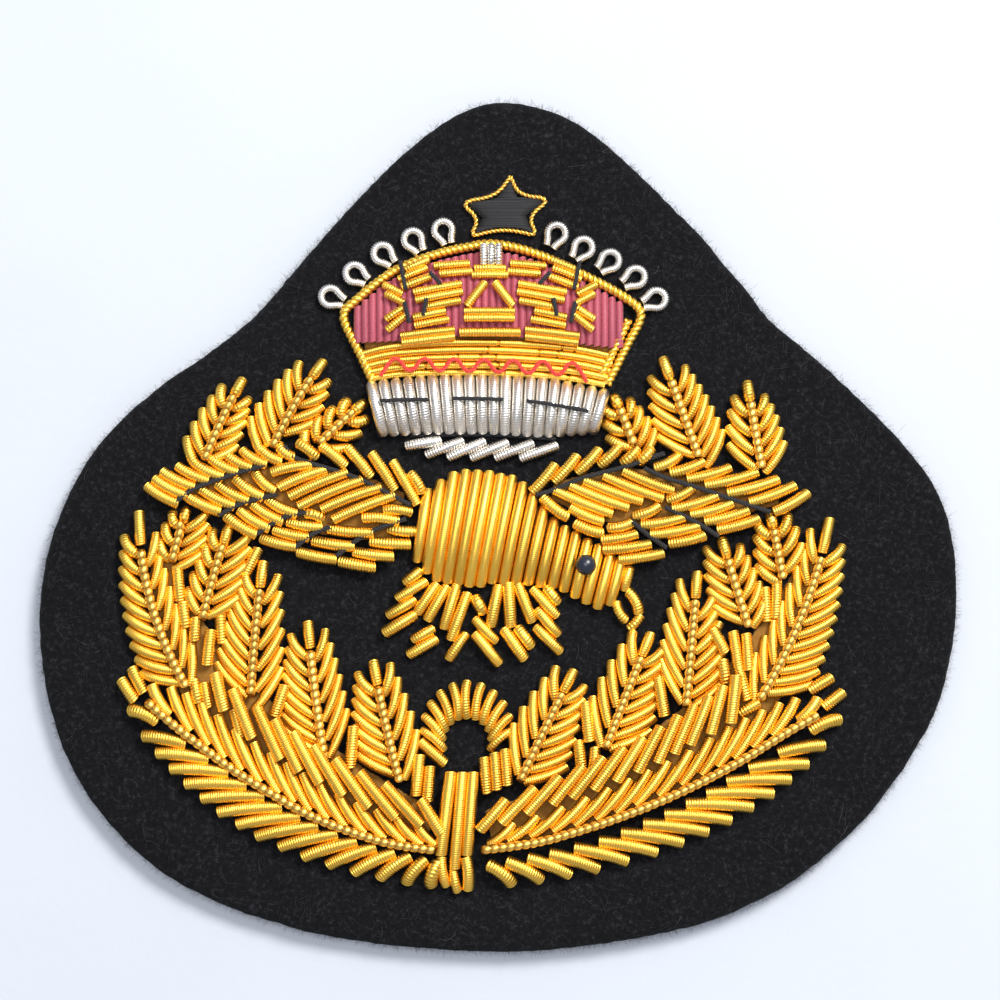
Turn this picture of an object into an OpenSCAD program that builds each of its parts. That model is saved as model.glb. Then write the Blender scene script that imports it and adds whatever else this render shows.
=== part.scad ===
// Hand-embroidered cap badge: a peaked patch of black wool cloth on a stiffener and lining,
// with felt padding, gold and silver purl (close-coiled wire cut into short lengths called
// chips), gold twist cord, and silk and cotton threads laid over it.
// Units: millimetres. +X is the wearer's left as seen from the front, +Y is up, +Z is out
// of the face. The flat back lies in the plane Z = 0.

/* [Cloth] */
// Thickness of the lining that covers the back
lining_thickness = 0.25; // [0.15:0.05:0.5]
// Thickness of the stiffener between lining and face cloth
stiffener_thickness = 0.6; // [0.3:0.1:1.2]
// Thickness of the wool face cloth
cloth_thickness = 1.4; // [1:0.1:2]
// How far the lining stays back from the cloth edge
lining_inset = 0.5; // [0.2:0.1:1.5]
// How far the stiffener stays back from the cloth edge
stiffener_inset = 0.9; // [0.3:0.1:2]

/* [Purl] */
// Radius of the thick gold purl on the body of the eagle
body_purl = 0.46; // [0.4:0.01:0.5]
// Radius of the gold purl on the wings
wing_purl = 0.38; // [0.34:0.01:0.42]
// Radius of the gold purl on the leaves
leaf_purl = 0.36; // [0.32:0.01:0.4]
// Radius of the gold purl along the stems
stem_purl = 0.44; // [0.35:0.01:0.45]
// Radius of the fine gold purl on the crown
crown_purl = 0.27; // [0.22:0.01:0.32]
// Radius of the silver purl on the headband
silver_purl = 0.45; // [0.4:0.01:0.46]
// Radius of the silk purl that fills the crown
silk_purl = 0.28; // [0.24:0.01:0.3]

/* [Cords] */
// Radius of the gold twist cord on the veins and stems
cord_radius = 0.36; // [0.28:0.01:0.42]
// Radius of the gold cord that edges the crown
rim_radius = 0.42; // [0.34:0.01:0.46]
// Radius of the gold cord that edges the star
star_cord = 0.24; // [0.18:0.01:0.3]
// Radius of the black threads laid along the feathers
thread_radius = 0.22; // [0.15:0.01:0.3]

/* [Padding] */
// Height of the felt under the body of the eagle
body_pad_height = 1.15; // [0.6:0.05:1.6]
// Height of the felt under each wing
wing_pad_height = 0.55; // [0.3:0.05:1]
// Height of the felt under each half of the wreath
wreath_pad_height = 0.5; // [0.3:0.05:0.9]
// Height of the felt under the crown
crown_pad_height = 0.9; // [0.4:0.05:1.4]
// Height of the felt under the headband of the crown
band_pad_height = 0.95; // [0.4:0.05:1.4]

/* [Hidden] */
$fn = 40;
top = lining_thickness + stiffener_thickness + cloth_thickness;

gold = [0.93, 0.66, 0.16];
pale_gold = [0.9, 0.74, 0.36];
silver = [0.86, 0.85, 0.82];
black = [0.04, 0.04, 0.05];
wine = [0.5, 0.12, 0.16];
red = [0.85, 0.1, 0.08];
felt_grey = [0.35, 0.33, 0.3];

// ---------- helpers: plain maths ----------
function mix(a, b, t) = a + (b - a) * t;
function unit(v) = v / norm(v);
// Point at t (0 to 1) along a list of points, counted by point, not by length.
function along(c, t) =
  let (s = t * (len(c) - 1), i = min(floor(s), len(c) - 2)) mix(c[i], c[i + 1], s - i);
// Smooth curve through points: Catmull-Rom, k steps per span.
function cr(a, b, c, d, t) =
  0.5 * (2 * b + (c - a) * t + (2 * a - 5 * b + 4 * c - d) * t * t
    + (3 * b - a - 3 * c + d) * t * t * t);
function smooth_loop(p, k) = let (n = len(p))
  [for (i = [0 : n - 1], j = [0 : k - 1])
    cr(p[(i + n - 1) % n], p[i], p[(i + 1) % n], p[(i + 2) % n], j / k)];
function smooth_line(p, k) = let (n = len(p))
  [for (i = [0 : n - 2], j = [0 : (i == n - 2 ? k : k - 1)])
    cr(p[max(i - 1, 0)], p[i], p[i + 1], p[min(i + 2, n - 1)], j / k)];
function flip(c, axis_x) = [for (p = c) [2 * axis_x - p[0], p[1]]];
function at_z(c, z) = [for (p = c) [p[0], p[1], z]];

// ---------- helpers: solids ----------
// A chip is written as [start, end, start height, end height, rise, lean, radius].
// Heights are the centre line above the cloth; rise is the bow of the chip between its
// ends; lean turns that bow from straight up towards one side.
module chip(c) {
  d = c[1] - c[0];
  flat = norm(d);
  up = c[3] - c[2];
  chord = sqrt(flat * flat + up * up);
  rise = max(c[4], 0.02);
  bow = (chord * chord / 4 + rise * rise) / (2 * rise);
  half = asin(chord / 2 / bow);
  translate([c[0][0], c[0][1], top + c[2]])
    rotate([0, -atan2(up, flat), atan2(d[1], d[0])])
      rotate([c[5], 0, 0])
        translate([chord / 2, 0, rise - bow])
          rotate([90, 0, 0]) rotate([0, 0, 90 - half])
            rotate_extrude(angle = 2 * half) translate([bow, 0]) circle(c[6], $fn = 24);
}
module chips(list) { for (c = list) chip(c); }

// Places along two curves where chips from one to the other lie side by side, never closer
// than the pitch.
function side_step(a, b, t) =
  let (u = max(0, min(t, 0.98)), d = unit(along(b, u) - along(a, u)),
       p = along(a, u + 0.02) - along(a, u), q = along(b, u + 0.02) - along(b, u))
    max(0.3 * norm(a[len(a) - 1] - a[0]),
      min(abs(d[0] * p[1] - d[1] * p[0]), abs(d[0] * q[1] - d[1] * q[0])) / 0.02);
function next_place(a, b, pitch, t) =
  let (go = pitch / side_step(a, b, t)) t + max(go, pitch / side_step(a, b, t + go));
function places(a, b, pitch, t = 0) =
  t > 1.001 ? [] : concat([t], places(a, b, pitch, next_place(a, b, pitch, t)));
// Two matching curves cut again into equal steps along the line midway between them.
function running(p) = [for (i = 0, s = 0; i < len(p);
  s = s + norm(p[min(i + 1, len(p) - 1)] - p[i]), i = i + 1) s];
function even(a, b) =
  let (s = running((a + b) / 2), size = s[len(s) - 1], n = max(2, ceil(size / 0.7)))
    [for (c = [a, b]) [for (j = [0 : n])
      [for (k = [0, 1]) lookup(size * j / n, [for (i = [0 : len(s) - 1]) [s[i], c[i][k]]])]]];
// Chips laid side by side that run from one curve to another.
function between(a, b, za, zb, rise, lean, r) =
  let (e = even(a, b), q = places(e[0], e[1], 2 * r + 0.06), k = 1 / q[len(q) - 1])
    [for (t = q) [along(e[0], k * t), along(e[1], k * t), za, zb, rise, lean, r]];

// A round cord through 3-D points, with flat ends, or closed when loop is true.
module cord(p, r, loop = false, sides = 9) {
  n = len(p);
  ring = [for (i = [0 : n - 1])
    let (q = loop ? p[(i + n - 1) % n] : p[max(i - 1, 0)],
         s = loop ? p[(i + 1) % n] : p[min(i + 1, n - 1)],
         d = unit(s - q), u = unit(cross([0, 0, 1], d)), v = cross(d, u))
    for (k = [0 : sides - 1]) p[i] + r * (cos(360 * k / sides) * u + sin(360 * k / sides) * v)];
  spans = loop ? n - 1 : n - 2;
  wall = [for (i = [0 : spans], k = [0 : sides - 1])
    let (j = (i + 1) % n, m = (k + 1) % sides)
    for (f = [[i * sides + k, j * sides + k, j * sides + m],
              [i * sides + k, j * sides + m, i * sides + m]]) f];
  first = [for (k = [1 : sides - 2]) [0, k, k + 1]];
  last = [for (k = [1 : sides - 2]) let (o = (n - 1) * sides) [o, o + k + 1, o + k]];
  polyhedron(ring, loop ? wall : concat(wall, first, last));
}

// A felt pad with a flat bottom and a domed top. Each station is [x, y, half width, height];
// the pad is as wide as stated across the line of stations.
module felt_pad(stations, sides = 9) {
  s = stations;
  n = len(s);
  ring = [for (i = [0 : n - 1])
    let (q = s[max(i - 1, 0)], r = s[min(i + 1, n - 1)],
         d = unit([r[0] - q[0], r[1] - q[1]]), u = [-d[1], d[0]])
    for (k = [0 : sides - 1]) let (a = 180 * k / (sides - 1))
      [s[i][0] + u[0] * s[i][2] * cos(a), s[i][1] + u[1] * s[i][2] * cos(a),
       top + s[i][3] * sin(a)]];
  wall = [for (i = [0 : n - 2], k = [0 : sides - 1]) let (m = (k + 1) % sides)
    for (f = [[i * sides + k, (i + 1) * sides + k, (i + 1) * sides + m],
              [i * sides + k, (i + 1) * sides + m, i * sides + m]]) f];
  first = [for (k = [1 : sides - 2]) [0, k, k + 1]];
  last = [for (k = [1 : sides - 2]) let (o = (n - 1) * sides) [o, o + k + 1, o + k]];
  polyhedron(ring, concat(wall, first, last));
}

// ---------- cloth ----------
outline = smooth_loop([[1.3, 37.1], [7, 35.2], [12, 31], [17.2, 25.9], [21, 21.4], [24, 17.8],
  [27, 15.2], [31.3, 11.4], [35.2, 7.3], [38.1, 3.4], [39.6, -0.8], [40, -5.8], [39.6, -11],
  [37.9, -16.6], [34.8, -22], [30.2, -27.3], [24.4, -31.8], [17.6, -34.7], [10, -36.3],
  [1.5, -37.1], [-7, -36.8], [-15, -35.7], [-21.6, -33.9], [-27.7, -31.2], [-32.8, -27.2],
  [-36.8, -21.8], [-39.2, -15.4], [-40, -8.2], [-38.9, -0.9], [-35.7, 5.9], [-31, 11],
  [-26, 14.6], [-21.6, 18], [-17.6, 22.6], [-13, 27.8], [-8.4, 32.4], [-3.6, 36]], 3);

module sheet(inset, z, thickness, tone) {
  k = 1 - inset / 38;
  color(tone) translate([0, 0, z]) linear_extrude(thickness) polygon(outline * k);
}
module back_lining() { sheet(lining_inset, 0, lining_thickness, [0.1, 0.1, 0.1]); }
module stiffener() {
  sheet(stiffener_inset, lining_thickness, stiffener_thickness, [0.55, 0.5, 0.42]);
}
module face_cloth() {
  sheet(0, lining_thickness + stiffener_thickness, cloth_thickness, [0.06, 0.06, 0.07]);
}

// ---------- felt padding ----------
module wreath_pad_left() {
  h = wreath_pad_height;
  color(felt_grey) felt_pad([[-29.6, -1.5, 0.8, 0.5 * h], [-29, -5, 1.6, h], [-27.4, -9.5, 2.4, h],
    [-25.2, -13.5, 3, h], [-21.8, -17.3, 3.2, h], [-17.6, -20.6, 3.2, h], [-13, -23.3, 2.9, h],
    [-8.8, -25.3, 2.4, h], [-5.8, -26.4, 1.9, 0.8 * h]]);
}
module wreath_pad_right() {
  h = wreath_pad_height;
  color(felt_grey) felt_pad([[27.3, -2, 0.8, 0.5 * h], [26.4, -5.5, 1.6, h],
    [24.8, -9.5, 2.4, h], [22.6, -13.2, 3, h], [19.6, -16.8, 3.2, h], [15.6, -19.8, 3.2, h],
    [11, -22.3, 2.9, h], [6, -24.4, 2.4, h], [1.2, -25.8, 2, h], [-0.9, -26.3, 1.8, 0.8 * h]]);
}
body_tops = [2.8, 3.6, 4.3, 4.5, 4.45, 4.4, 4.15, 4, 3.4, 2.6, 1.4, 0.3, -0.4, -0.9, -1.5, -2,
  -2.6, -3.1, -3.9];
body_feet = [-2.9, -3.9, -4.6, -4.8, -4.9, -5.1, -5.1, -4.8, -4.9, -4.9, -4.9, -5.05, -5.2, -5.5,
  -6.05, -6.55, -7, -6.7, -5.4];
function body_x(i) = -6.55 + 0.985 * i;
function body_rise(i) =
  body_pad_height / 0.85 * min(1, (body_tops[i] - body_feet[i]) / 7) * (i > 11 ? 0.85 : 1);
module body_pad() {
  color(felt_grey) felt_pad([for (i = [0.4, 1.2, 3, 6, 9, 11, 13, 15, 17]) let (j = round(i))
    [body_x(i), (body_tops[j] + body_feet[j]) / 2, 0.42 * (body_tops[j] - body_feet[j]),
     0.82 * body_rise(j)]]);
}
module wing_pad_left() {
  h = wing_pad_height;
  color(felt_grey) felt_pad([[-28, 3.2, 0.5, 0.6 * h], [-25.5, 3.4, 1.3, h],
    [-22, 3.2, 2.2, h], [-18.5, 2.6, 2.9, h], [-15, 2, 3.1, h], [-11.5, 1.4, 3, h],
    [-8.4, 0.8, 2.2, h]]);
}
module wing_pad_right() {
  h = wing_pad_height;
  color(felt_grey) felt_pad([[4.6, 2.9, 0.9, 0.7 * h], [7.5, 2.7, 2, h], [11, 2.4, 2.9, h],
    [14.5, 2.2, 2.8, h], [18, 2.2, 2.2, h], [21.5, 2.2, 1.4, h], [24.5, 2.2, 0.6, 0.6 * h]]);
}

// ---------- leaves ----------
// A leaf has a curved vein from base to tip and a row of chips on each side. Each side is
// [angle to the vein, length, vein share at the first chip, vein share at the last chip,
// how much shorter the last chip is].
function vein_point(b, t, bend, s) =
  let (d = t - b, c = (b + t) / 2 + bend * [-d[1], d[0]] / norm(d))
    b * (1 - s) * (1 - s) + 2 * c * s * (1 - s) + t * s * s;
function vein_dir(b, t, bend, s) =
  unit(vein_point(b, t, bend, s + 0.02) - vein_point(b, t, bend, s - 0.02));
function lay_angle(spec, s) =
  spec[0] * mix(1.1, spec[0] > 40 ? 0.72 : 0.88, (s - spec[2]) / (spec[3] - spec[2]));
function leaf_places(size, spec, s) = s > spec[3] + 0.012 ? [] :
  concat([s], leaf_places(size, spec,
    s + (2 * leaf_purl + 0.025) / size / sin(lay_angle(spec, s + 0.07))));
function leaf_side(b, t, bend, spec, side, lift) =
  let (q = leaf_places(norm(t - b), spec, spec[2]),
       k = (spec[3] - spec[2]) / (q[len(q) - 1] - spec[2]))
  [for (at = q) let (s = mix(spec[2], at, k), f = (s - spec[2]) / (spec[3] - spec[2]),
       d = vein_dir(b, t, bend, s),
       p = vein_point(b, t, bend, s) + side * 0.45 * [-d[1], d[0]],
       a = atan2(d[1], d[0]) + side * lay_angle(spec, s),
       reach = spec[1] * (1 - spec[4] * f * f))
    [p, p + reach * [cos(a), sin(a)], leaf_purl + 0.03 + mix(lift, 0.15, max(s, 0)),
     leaf_purl + 0.03, 0.4, -side * 22, leaf_purl]];
function leaf_chips(b, t, bend, left, right, lift) =
  let (e = vein_point(b, t, bend, 0.84))
    concat(leaf_side(b, t, bend, left, 1, lift), leaf_side(b, t, bend, right, -1, lift),
      [[e, t, leaf_purl + 0.2, leaf_purl + 0.05, 0.2, 0, leaf_purl]]);
// The vein cord lies in the groove between the two rows of chips.
function vein_cord(b, t, bend, lift) = [for (s = [0 : 0.1 : 0.8])
  let (p = vein_point(b, t, bend, s)) [p[0], p[1], top + leaf_purl + 0.66 + mix(lift, 0.15, s)]];

// Each entry is [base, tip, bend of the vein, left side, right side, lift of the base].
left_leaves = [
  [[-25.5, 5.6], [-22.3, 12.5], 0.2, [37, 2.5, -0.1, 0.66, 0.4], [38, 2.4, 0.04, 0.68, 0.4], 0.15],
  [[-19.6, 6.7], [-15.3, 14.1], 0.4, [38, 3.4, -0.12, 0.66, 0.4], [38, 2.7, 0.2, 0.7, 0.4], 0.15],
  [[-15.6, 7], [-11.8, 10.5], 0.1, [42, 1.7, -0.2, 0.62, 0.3], [40, 2.1, 0, 0.66, 0.4], 0.15],
  [[-27, -14], [-31.2, 1], 2, [43, 3.1, 0.04, 0.78, 0.45], [27, 3.6, 0, 0.72, 0.3], 0.55],
  [[-28.3, -3.2], [-27.1, 1.2], 0, [38, 1.6, 0.05, 0.68, 0.3], [40, 2.8, -0.1, 0.66, 0.2], 0.15],
  [[-25.6, -8.2], [-23.4, -0.3], 0.2, [36, 2.1, 0.06, 0.76, 0.3], [40, 3.2, 0.06, 0.74, 0.2], 0.4],
  [[-21.4, -14.8], [-20.4, -3.4], 0.2, [42, 3.6, 0, 0.76, 0.45], [27, 4, -0.1, 0.72, 0.4], 0.55],
  [[-15, -20.3], [-16.5, -8.6], 0.2, [43, 3.6, 0.06, 0.76, 0.4], [27, 4.1, 0.02, 0.74, 0.4], 0.55],
  [[-8.5, -22.2], [-10.8, -12], 0.2, [43, 3.4, 0.08, 0.76, 0.4], [27, 4, 0.02, 0.74, 0.4], 0.55]];
right_leaves = [
  [[11.8, 7.1], [10.2, 11], 0, [40, 1.9, -0.05, 0.64, 0.3], [42, 2.2, -0.3, 0.56, 0.4], 0.15],
  [[17.4, 6], [14.4, 14.3], 0, [38, 3.3, 0.03, 0.68, 0.4], [40, 3.2, -0.12, 0.68, 0.4], 0.15],
  [[22.8, 5], [21.7, 12.2], 0, [36, 2.9, 0, 0.66, 0.45], [38, 2.8, -0.05, 0.64, 0.45], 0.15],
  [[21.7, -8.8], [19.5, -1.4], 0.1, [38, 2.8, 0.08, 0.74, 0.3], [38, 2.5, 0, 0.7, 0.35], 0.4],
  [[24.7, -4.6], [23.7, 0.8], 0, [38, 2.1, -0.05, 0.68, 0.3], [40, 2.4, 0.12, 0.68, 0.3], 0.15],
  [[22.6, -15.2], [28.8, 0.4], -1.5, [27, 3.6, 0, 0.78, 0.3], [44, 3.7, 0.06, 0.78, 0.45], 0.55],
  [[16.3, -15.8], [17.3, -4.3], 0, [28, 4, 0.04, 0.74, 0.4], [42, 3.6, 0, 0.68, 0.4], 0.55],
  [[9.3, -19.4], [13.2, -9.6], 0.1, [28, 4, 0.02, 0.75, 0.4], [42, 3.6, 0.02, 0.76, 0.45], 0.55],
  [[1.9, -22.2], [6.5, -12.8], 0.1, [28, 4, 0.06, 0.75, 0.4], [42, 3.6, 0.02, 0.76, 0.45], 0.55]];

module leaf(l) { color(gold) chips(leaf_chips(l[0], l[1], l[2], l[3], l[4], l[5])); }
module veins(list) {
  color(pale_gold) for (l = list) cord(vein_cord(l[0], l[1], l[2], l[5]), cord_radius);
}

// ---------- stems ----------
stem_left = [[-30.4, -15.3], [-28.2, -17.2], [-25.5, -19.3], [-22.6, -21.4], [-19.5, -23.3],
  [-16.9, -24.8], [-14.2, -26], [-9.6, -27.5], [-5.6, -28.1]];
stem_right = [[27.6, -16.5], [24.6, -18.2], [21.4, -20.2], [17.9, -22.1], [14.3, -23.8],
  [10.8, -25.2], [7.2, -26.4], [3.2, -27.5], [-1.4, -28.1]];
outer_tips_left = [[-31.7, -16.1], [-30.6, -18.3], [-28.9, -20.4], [-26.6, -22.8],
  [-23.8, -25.1], [-20.5, -27.1], [-16.5, -28.8], [-12.5, -30], [-8.7, -30.7], [-5.8, -31]];
outer_roots_left = [[-29.7, -16.9], [-27.3, -18.9], [-24.4, -20.8], [-21.5, -22.8],
  [-18.6, -24.6], [-15.5, -26.2], [-12.2, -27.5], [-9.2, -28.4], [-6.9, -29], [-5.3, -29.4]];
outer_tips_right = [[29.4, -16.9], [28.1, -19.1], [26.4, -21], [23.8, -23.2],
  [20.7, -25.2], [17.1, -27], [13, -28.5], [8.7, -29.7], [4.6, -30.5], [1.1, -30.9]];
outer_roots_right = [[27.2, -17.7], [24.5, -19.7], [21.4, -21.3], [18.3, -23.2],
  [15.2, -24.8], [11.9, -26.3], [8.4, -27.6], [4.8, -28.5], [1.6, -29.1], [-0.7, -29.5]];
inner_tips_left = [[-29.9, -14.1], [-28.4, -14.2], [-27.1, -14.7], [-24.6, -16.3],
  [-21.95, -18.45], [-18.75, -20.45], [-15.8, -22.3], [-12.7, -24], [-9.3, -25.2], [-7, -26]];
inner_roots_left = [[-28.6, -16.3], [-26.9, -17.6], [-25.3, -18.9], [-22.7, -20.9],
  [-19.9, -22.7], [-16.9, -24.4], [-13.8, -25.9], [-10.5, -27], [-7.2, -27.6], [-5.3, -27.8]];
inner_tips_right = [[27.6, -15.2], [25.2, -15.2], [23.3, -16], [19.6, -17.8],
  [16.4, -19.8], [12.3, -21.7], [8.2, -23.5], [4.4, -25], [1.2, -26]];
inner_roots_right = [[26.2, -16.8], [23.2, -18.5], [21, -19.9], [17.4, -21.7],
  [13.9, -23.4], [9.7, -25.1], [5.5, -26.3], [2, -27.1], [-0.6, -27.6]];
check_starts_left = [[-24.4, -13], [-22.4, -14.8], [-19.4, -16.9], [-16, -19.2],
  [-12.9, -21.1], [-9.2, -22.8], [-6.6, -23.9]];
check_ends_left = [[-23.7, -15.9], [-20.5, -19.1], [-17.4, -21.1], [-13.6, -23.2],
  [-9.9, -24.9], [-6.2, -26], [-5, -26.5]];
check_starts_right = [[20.6, -13.2], [18.4, -14.9], [15.6, -16.6], [12.8, -18.4],
  [9.8, -19.9], [6.7, -21.2], [3.7, -22.6], [0.6, -23.9]];
check_ends_right = [[20.1, -17], [16.8, -18.8], [13.9, -20.4], [10.6, -21.9],
  [7.2, -23.2], [4.2, -24.2], [0.8, -25.5], [-1.5, -26.3]];
stem_top = wreath_pad_height + 0.06 + stem_purl;

module stem_outer(tips, roots, lean) {
  color(gold) chips(between(tips, roots, stem_purl + 0.03, stem_top, 0.4, lean, stem_purl));
}
module stem_inner(roots, tips, lean) {
  color(gold) chips(between(roots, tips, stem_top, stem_top, 0.28, lean, stem_purl - 0.05));
}
module stem_check(starts, ends, fill) {
  z = stem_top + 0.8;
  color(gold) chips(between(starts, ends, z, z, 0.22, 0, stem_purl - 0.04));
  color(gold) chips([for (c = fill) let (z = len(c) > 2 ? c[2] : 0.98)
    [c[0], c[1], z, z + 0.02, 0.2, 0, stem_purl - 0.06]]);
}
module stem_outer_left() {
  stem_outer(outer_tips_left, outer_roots_left, -20);
  color(gold) chips([[[-31.7, -12.6], [-30.8, -14.4], 0.46, 0.7, 0.2, 0, stem_purl - 0.04],
    [[-32.6, -13.6], [-31.6, -15.1], 0.46, 0.7, 0.2, 0, stem_purl - 0.04]]);
}
module stem_outer_right() {
  stem_outer(outer_tips_right, outer_roots_right, 20);
  color(gold) chips([[[29.8, -14.6], [28.3, -15.7], 0.46, 0.7, 0.15, 0, stem_purl - 0.04],
    [[28.8, -13.3], [27.1, -14.3], 0.46, 0.7, 0.15, 0, stem_purl - 0.04]]);
}
module stem_inner_left() { stem_inner(inner_roots_left, inner_tips_left, -25); }
module stem_inner_right() { stem_inner(inner_roots_right, inner_tips_right, 25); }
module stem_check_left() {
  stem_check(check_starts_left, check_ends_left,
    [[[-24.1, -7.4], [-24, -10.1], 0.6], [[-24.9, -9.3], [-25.2, -12]],
     [[-26.2, -8.3], [-26.3, -9.8]], [[-27.8, -4], [-27.6, -6.4], 0.6],
     [[-27.3, -6.9], [-27.1, -8.7], 0.8], [[-21.9, -4.2], [-20.9, -2.2], 0.41],
     [[-18.5, -14.1], [-19.3, -16.4]], [[-12.5, -17.6], [-12.8, -20.9]],
     [[-6.6, -18.9], [-4.7, -20.6], 0.6], [[-6.8, -20.1], [-7.1, -23.3]],
     [[-5.9, -21.1], [-6.1, -23.8]], [[-26.3, -13.6], [-26, -15.2]], [[-25.4, -13.9], [-25.1, -15.6]],
     [[-22.8, -16.2], [-22.3, -18.2]]]);
}
module stem_check_right() {
  stem_check(check_starts_right, check_ends_right,
    [[[18.7, -9.2], [19.6, -10.9]], [[20.4, -9.4], [20.8, -12.2]], [[21.5, -9.6], [21.7, -12.4]],
     [[20.9, -12.6], [21.5, -15]], [[19.5, -11.9], [19.7, -13.5]],
     [[23.2, -5.6], [23.3, -8.2], 0.6], [[24.2, -5.1], [24.1, -7.9], 0.6],
     [[13.9, -13.4], [14.4, -16.4]], [[7.6, -15.5], [7.9, -18.6]], [[7, -18.9], [7.2, -20.8], 0.88],
     [[8.4, -19.5], [8.3, -21]], [[21.1, -16.2], [22.4, -15.5], 1.1], [[0.6, -19.6], [0.8, -22.4]], [[-0.3, -19.9], [-0.1, -22.8]],
     [[-1.2, -20.3], [-1, -23.1]]]);
}
module stem_cord(line) {
  color(pale_gold) cord(at_z(smooth_line(line, 3), top + stem_top + 0.7), cord_radius);
}

// ---------- ring and tie where the two branches cross ----------
ring_centre = [-2.7, -18.2];
module wreath_ring() {
  n = 11;
  color(gold) for (i = [0 : n - 1]) {
    a = mix(-8, 188, i / (n - 1));
    d = -90 + 0.5 * (a - 90);
    m = ring_centre + [2.95 * cos(a), 3.05 * sin(a)];
    h = mix(1.4, 1.1, abs(a - 90) / 98) * [cos(d), sin(d)];
    chip([m - h, m + h, 0.42, 0.42, 0.55, a > 90 ? -15 : 15, 0.31]);
  }
}
module wreath_tie() {
  z = stem_top + 0.12;
  color(gold) chips([
    [[-4.1, -21.6], [-4.95, -28.4], z, z, 0.5, 0, 0.44],
    [[-3.1, -21.6], [-3.75, -29.6], z, z - 0.3, 0.55, 0, 0.44],
    [[-2.15, -21.6], [-2.65, -28.4], z, z, 0.5, 0, 0.44],
    [[-4.9, -28.9], [-4.5, -31.1], z - 0.1, 0.45, 0.25, 30, 0.4],
    [[-3.88, -30], [-3.55, -31.6], 0.6, 0.45, 0.2, 10, 0.38],
    [[-2.75, -28.9], [-2.6, -31.4], z - 0.1, 0.45, 0.25, -25, 0.4]]);
}

// ---------- eagle ----------
module eagle_body() {
  color(gold) chips([for (i = [0 : 18])
    let (lean = 0.15 + 0.006 * i, mid = (body_tops[i] + body_feet[i]) / 2)
      [[body_x(i) + lean * (body_feet[i] - mid), body_feet[i]],
       [body_x(i) + lean * (body_tops[i] - mid), body_tops[i]],
       body_purl + 0.02, body_purl + 0.02, body_rise(i), 0, body_purl]]);
}
module eagle_eye() { color(black) translate([7.6, -3.5, top + 2.1]) sphere(0.82, $fn = 32); }
module eagle_beak() {
  color(gold) chips([
    [[10.3, -6.9], [11, -8.2], 0.36, 0.36, 0.25, 30, 0.33],
    [[11.4, -5.9], [12.2, -7.5], 0.36, 0.36, 0.3, -30, 0.36],
    [[12.3, -8], [11.5, -8.9], 0.36, 0.36, 0.15, -20, 0.33]]);
}
tail_left = [[[-7.9, -4.9], [-6.9, -4.1]], [[-8.6, -6.3], [-6.4, -5]],
  [[-9.4, -7.8], [-7.4, -6.6]], [[-9.7, -9.3], [-7.4, -7.9]], [[-6.95, -7.5], [-5.45, -5.3]],
  [[-6.05, -8.1], [-4.55, -5.5]], [[-4.65, -8.8], [-3.65, -5.4]], [[-4.05, -9.8], [-2.7, -6.1]],
  [[-7.2, -9.9], [-5.8, -9.1]], [[-7.6, -11.2], [-5.5, -10]], [[-4.2, -11.5], [-2.9, -9.6]]];
tail_right = [[[-1.9, -6.5], [-1.4, -7.4]], [[-0.6, -8.6], [0, -5.5]], [[1.1, -8.6], [0.9, -5.3]],
  [[1.8, -5.4], [2.9, -8.2]], [[3.1, -5.7], [5, -7.8]], [[4.3, -5.6], [5.1, -6.6]],
  [[3.5, -7.5], [5.1, -9.4]], [[3.4, -9], [5.3, -10.9]], [[-1.9, -8.3], [-0.3, -10]],
  [[-1.9, -9.6], [0, -11.9]], [[0.6, -9.2], [2.2, -11.5]], [[1.8, -9.1], [2.8, -10.4]]];
module eagle_tail() {
  color(gold) chips([for (c = concat(tail_left, tail_right))
    [c[0], c[1], 0.44, 0.44, 0.1 + 0.09 * norm(c[1] - c[0]), 0, 0.41]]);
}

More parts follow.
